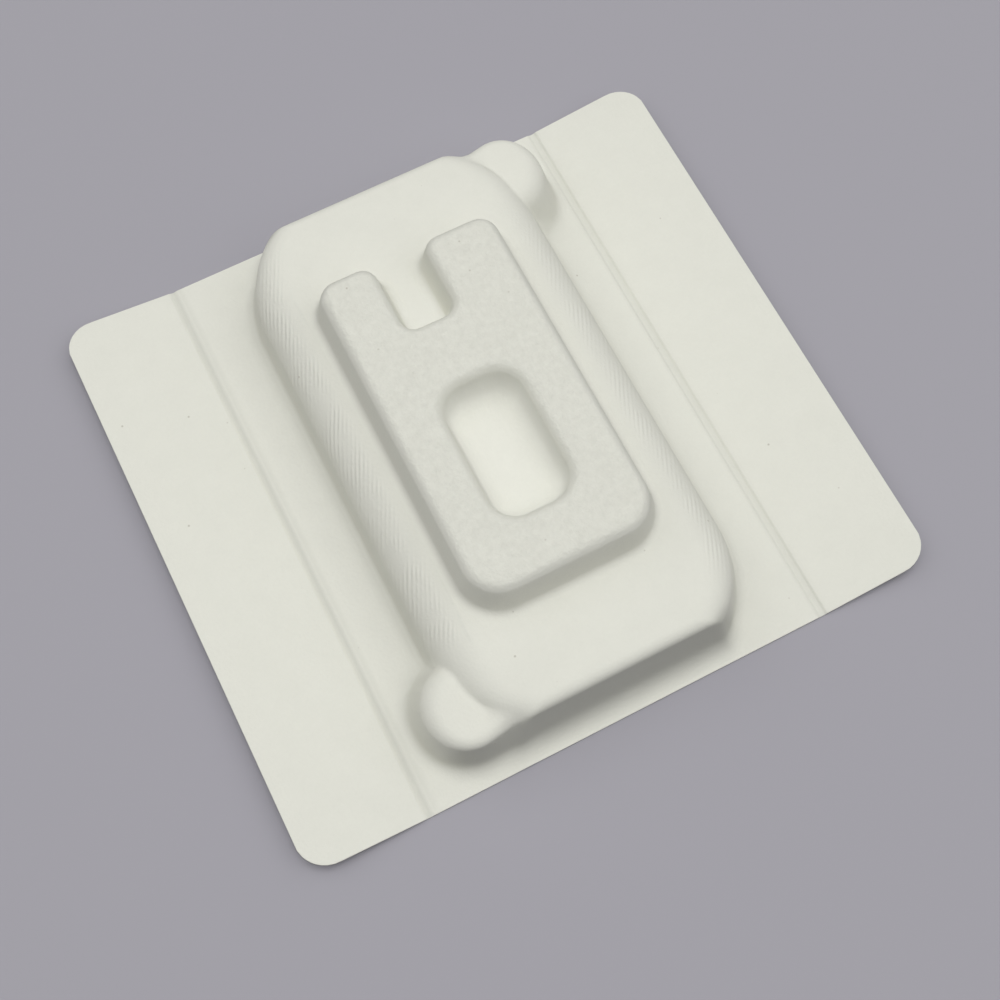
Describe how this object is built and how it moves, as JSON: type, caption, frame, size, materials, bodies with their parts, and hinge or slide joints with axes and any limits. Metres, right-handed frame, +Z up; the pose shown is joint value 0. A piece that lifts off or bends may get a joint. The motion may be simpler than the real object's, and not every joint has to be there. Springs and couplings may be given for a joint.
{
  "type": "molded pulp insert",
  "caption": "Pressed paper-pulp packing insert: a flat sheet with creased side wings and a stepped hollow form with a recess, a notch and finger lobes.",
  "frame": {"origin": "middle of the sheet in plan, on the underside of the flat sheet that it lies on", "axes": "+X across the sheet from wing to wing, +Y along the block towards the notched end of the plateau, +Z up"},
  "size_m": [0.2184, 0.2, 0.0409],
  "materials": {
    "pulp": "matte, fine pressed pulp"
  },
  "bodies": {
    "root": {"pulp_insert": "pulp"}
  },
  "joints": []
}
